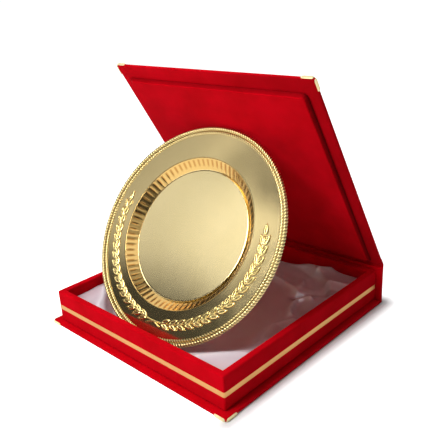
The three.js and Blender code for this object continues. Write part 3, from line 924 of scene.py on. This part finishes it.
outer_ring = rope_ring(centre=98.1, radius=2.15, flatness=1, notch_depth=1.0)
inner_ring = rope_ring(centre=94.8, radius=1.6, flatness=0.7, notch_depth=0.7)
rope_shape = together([outer_ring, inner_ring])
rope = piece("rope_border_gold", rope_shape, cast_gold, "award", ["rope_border"])
# Painted shade in the notches between the rope's strands.
mark(rope, "painted_hollow_shade", np.tile(smooth_step(1 - strand, 0.2, 0.45).ravel(), 2))

# %% [markdown]
# Two laurel branches cross at the plate's lowest point. A leaf is a small slab: its outline is widest
# before the middle, and its front is a dome with a narrow groove along the middle, where the midrib is.
# Instances on a curve could set the leaves out. The wreath is one casting, so they are turned into place
# by a loop and joined into one mesh with the stems.

# %% Laurel wreath
wreath_radius = 81.512
leaf_length = 11.03
leaf_width = 4.8
leaf_height = 1.3
leaf_edge = 0.1
vein_width = 0.22
leaf_pairs = 16
branch_span = np.radians(100)
first_leaf = np.radians(6)
leaf_spread = np.radians(24)
tail_length = 8.8
tail_turn = np.radians(22)
stem_width = 1.7
stem_height = 1.0
wreath_base = 0.5


def leaf():
    """A grid along and across the leaf. Its half width is a sine of the length to a power, so that it is
    widest early. Its height is a dome with a narrow groove along the middle. It also gives the mark of
    painted shade that darkens the groove and the leaf's two sides."""
    along = np.linspace(0, 1, 13)[:, None]
    side = np.linspace(-1, 1, 17)[None, :]
    half = leaf_width / 2 * np.sin(np.pi * (0.02 + 0.96 * along) ** 0.85)
    x = leaf_length * along + 0 * side
    y = side * half
    ends = np.minimum(1, 5 * np.minimum(along + 0.06, 1.04 - along))
    vein = np.exp(-(side / vein_width) ** 2) * smooth_step(along, 0.15, 0.35)
    vein = vein * (1 - smooth_step(along, 0.65, 0.85))
    height = leaf_height * (np.sqrt(1 - 0.9 * side ** 2) - 0.5 * vein) * ends
    front = np.stack([x, y, height + leaf_edge], axis=-1)
    rear = np.stack([x, y, 0 * height], axis=-1)
    dark = np.maximum(0.8 * vein, smooth_step(np.abs(side), 0.85, 1))
    return slab(front, rear), np.append(dark, 0 * height)


def turned(points, angle):
    """Turns points about Z."""
    x, y, z = np.moveaxis(points, -1, 0)
    c, s = np.cos(angle), np.sin(angle)
    return np.stack([x * c - y * s, x * s + y * c, z], axis=-1)


def stem_bar(path):
    """A half-round bar along a flat path."""
    direction = np.gradient(path, axis=0)
    direction /= np.linalg.norm(direction, axis=1)[:, None]
    aside = np.stack([-direction[:, 1], direction[:, 0]], axis=1)
    turn = np.linspace(0, np.pi, 9)
    width = stem_width / 2 * np.cos(turn)
    height = stem_height * np.sin(turn)
    flat_points = path[:, None, :] + aside[:, None, :] * width[None, :, None]
    heights = np.broadcast_to(height[None, :, None], flat_points.shape[:2] + (1,))
    return loft(np.concatenate([flat_points, heights], axis=-1), "face")


def branch(growth):
    """Stem, tail, pairs of leaves and a last leaf at the tip, and their marks. growth is 1 to the right and
    -1 to the left."""
    bottom = -np.pi / 2
    arc = bottom + growth * np.linspace(0, branch_span, 60)
    stem = wreath_radius * np.stack([np.cos(arc), np.sin(arc)], axis=1)
    out = np.linspace(-tail_length, 0, 12)[:-1]
    tail = np.stack([growth * out * np.cos(tail_turn), -wreath_radius + out * np.sin(tail_turn)], axis=1)
    shapes = [stem_bar(np.vstack([tail, stem]))]
    marks = [np.zeros(len(shapes[0][0]))]
    (blade, blade_faces), blade_marks = leaf()
    pair_turns = first_leaf + (branch_span - first_leaf) * np.arange(leaf_pairs) / leaf_pairs
    pair_places = bottom + growth * pair_turns
    places = [(place, half * leaf_spread) for place in pair_places for half in (1, -1)]
    places.append((bottom + growth * branch_span, 0))
    for place, aside in places:
        foot = wreath_radius * np.array([np.cos(place), np.sin(place), 0])
        shapes.append((turned(blade, place + growth * (np.pi / 2 + aside)) + foot, blade_faces))
        marks.append(blade_marks)
    return shapes, marks


right_shapes, right_marks = branch(1)
left_shapes, left_marks = branch(-1)
wreath_points, wreath_faces = together(right_shapes + left_shapes)
wreath_points = wreath_points + [0, 0, wreath_base]
wreath = piece("laurel_wreath_gold", (on_plate(wreath_points), wreath_faces), leaf_gold,
               "award", ["laurel_wreath"])
# Painted shade in the leaves' midrib grooves and along their sides.
mark(wreath, "painted_hollow_shade", np.concatenate(right_marks + left_marks))

# %% [markdown]
# The table is white. In the camera and in reflections it glows by itself, so that it comes out white. The
# glow fades towards the foot of the box's right side, and the shadow under that side stays. Brighter lamps
# would whiten the table too, but they would bleach the box.

# %% Table
glow_near = 0.0
glow_far = 1.0
glow_distance = 0.019


def table_finish():
    """White, with a glow that grows by a smooth step with the distance from the right side's foot."""
    material = bpy.data.materials.new("white_table")
    material.use_nodes = True
    nodes, links = material.node_tree.nodes, material.node_tree.links
    shader = nodes["Principled BSDF"]
    shader.inputs["Base Color"].default_value = (0.8, 0.8, 0.8, 1)
    shader.inputs["Roughness"].default_value = 0.9
    shader.inputs["Specular IOR Level"].default_value = 0.0
    shader.inputs["Emission Color"].default_value = (1, 1, 1, 1)
    rays = nodes.new("ShaderNodeLightPath")
    seen = nodes.new("ShaderNodeMath")
    seen.operation = "MAXIMUM"
    links.new(rays.outputs["Is Camera Ray"], seen.inputs[0])
    links.new(rays.outputs["Is Glossy Ray"], seen.inputs[1])
    also = nodes.new("ShaderNodeMath")
    also.operation = "MAXIMUM"
    links.new(seen.outputs[0], also.inputs[0])
    links.new(rays.outputs["Is Transmission Ray"], also.inputs[1])
    place = nodes.new("ShaderNodeTexCoord")
    parts = nodes.new("ShaderNodeSeparateXYZ")
    links.new(place.outputs["Object"], parts.inputs[0])
    beside = nodes.new("ShaderNodeClamp")
    beside.inputs["Min"].default_value = -cover_half * mm
    beside.inputs["Max"].default_value = hinge_y * mm
    links.new(parts.outputs["Y"], beside.inputs["Value"])
    foot = nodes.new("ShaderNodeCombineXYZ")
    foot.inputs["X"].default_value = cover_half * mm
    links.new(beside.outputs[0], foot.inputs["Y"])
    away = nodes.new("ShaderNodeVectorMath")
    away.operation = "DISTANCE"
    links.new(place.outputs["Object"], away.inputs[0])
    links.new(foot.outputs[0], away.inputs[1])
    level = nodes.new("ShaderNodeMapRange")
    level.interpolation_type = "SMOOTHSTEP"
    level.inputs["From Min"].default_value = 0
    level.inputs["From Max"].default_value = glow_distance
    level.inputs["To Min"].default_value = glow_near
    level.inputs["To Max"].default_value = glow_far
    links.new(away.outputs["Value"], level.inputs["Value"])
    glow = nodes.new("ShaderNodeMath")
    glow.operation = "MULTIPLY"
    links.new(also.outputs[0], glow.inputs[0])
    links.new(level.outputs["Result"], glow.inputs[1])
    links.new(glow.outputs[0], shader.inputs["Emission Strength"])
    return material


# In metres, so wide that its edge lies far behind everything.
table_half = 200
table_mesh = bpy.data.meshes.new("table_top")
table_mesh.from_pydata([(-table_half, -table_half, 0), (table_half, -table_half, 0),
                        (table_half, table_half, 0), (-table_half, table_half, 0)], [], [(0, 1, 2, 3)])
table_mesh.materials.append(table_finish())
table_top = bpy.data.objects.new("table_top", table_mesh)
bpy.context.scene.collection.objects.link(table_top)
print("table made:", 2 * table_half, "metres wide")

# %% [markdown]
# The light comes from the front left. The key lamp is small and strong, and it stands where the plate's
# flat faces don't mirror it. What they do mirror is a row of dim panels to its left, and below them the
# dark room. Broad panels above, beside and behind the box fill the faces that the key lamp doesn't reach.
# Four cards light nothing by themselves and are only mirrored, by the cove and the flange's lower left.
# The sky is white to the camera and dim to everything else. A picture of a studio round the box could do
# all of this, but lamps can be placed one by one, each where a face of the plate mirrors it.

# %% Sky and lamps
sky_dim = 0.045
aim_height = 0.08
world = bpy.data.worlds.new("studio")
world.use_nodes = True
bpy.context.scene.world = world
sky = world.node_tree.nodes["Background"]
sky.inputs["Color"].default_value = (1, 1, 1, 1)
sky_rays = world.node_tree.nodes.new("ShaderNodeLightPath")
sky_level = world.node_tree.nodes.new("ShaderNodeMapRange")
sky_level.inputs["To Min"].default_value = sky_dim
sky_level.inputs["To Max"].default_value = 1
world.node_tree.links.new(sky_rays.outputs["Is Camera Ray"], sky_level.inputs["Value"])
world.node_tree.links.new(sky_level.outputs["Result"], sky.inputs["Strength"])


def lamp(name, direction, distance, width, height, brightness):
    """A rectangular lamp in the given direction from the box, facing it, out of the camera's sight. Its
    power is its brightness times pi times its area, so that the brightness is what a mirror would show."""
    direction = np.array(direction, float)
    data = bpy.data.lights.new(name, "AREA")
    data.shape = "RECTANGLE"
    data.size = width
    data.size_y = height
    data.energy = brightness * np.pi * width * height
    made = bpy.data.objects.new(name, data)
    bpy.context.scene.collection.objects.link(made)
    aside = np.cross([0, 0, 1], direction)
    aside /= np.linalg.norm(aside)
    matrix = np.eye(4)
    matrix[:3, :3] = np.stack([aside, np.cross(direction, aside), direction], axis=1)
    matrix[:3, 3] = direction * distance + np.array([0, 0, aim_height])
    made.matrix_world = matrix.T.tolist()
    made.visible_camera = False
    return made


def towards(azimuth_degrees, elevation_degrees):
    """A direction from the box, with azimuth 0 at the front and growing to the left."""
    a, e = np.radians(azimuth_degrees), np.radians(elevation_degrees)
    return (-np.sin(a) * np.cos(e), -np.cos(a) * np.cos(e), np.sin(e))


# After its direction a lamp has its distance, its width and its height in metres, and its brightness.
lamp("key_lamp", towards(8, 42), 1.35, 0.33, 0.60, 21)
lamp("key_wing", towards(37, 35.5), 1.6, 0.36, 0.46, 1.1)
lamp("middle_panel", towards(49.5, 30.3), 1.6, 0.30, 0.44, 0.68)
lamp("upper_panel", towards(48, 45), 1.6, 0.34, 0.34, 0.35)
lamp("left_panel", towards(60, 38), 1.6, 0.34, 0.80, 0.55)
lamp("top_panel", towards(40, 70), 1.6, 0.6, 0.6, 5.5)
lamp("side_panel", towards(110, 45), 2.0, 0.8, 1.4, 1.6)
lamp("right_panel", towards(-70, 20), 1.8, 1.5, 1.0, 0.5)
lamp("right_top_panel", towards(-50, 66), 1.7, 0.8, 0.8, 1.1)
lamp("back_panel", towards(180, 40), 2.0, 1.6, 1.2, 0.6)
lamp("low_card", towards(55, 21.3), 1.6, 0.34, 0.19, 0.5).visible_diffuse = False
lamp("right_card", towards(-49, 41), 1.5, 0.85, 0.8, 0.6).visible_diffuse = False
lamp("front_card", towards(-22, 12), 1.5, 0.7, 0.4, 0.22).visible_diffuse = False
lamp("overhead_card", towards(-60, 76), 1.6, 1.8, 1.6, 0.65).visible_diffuse = False
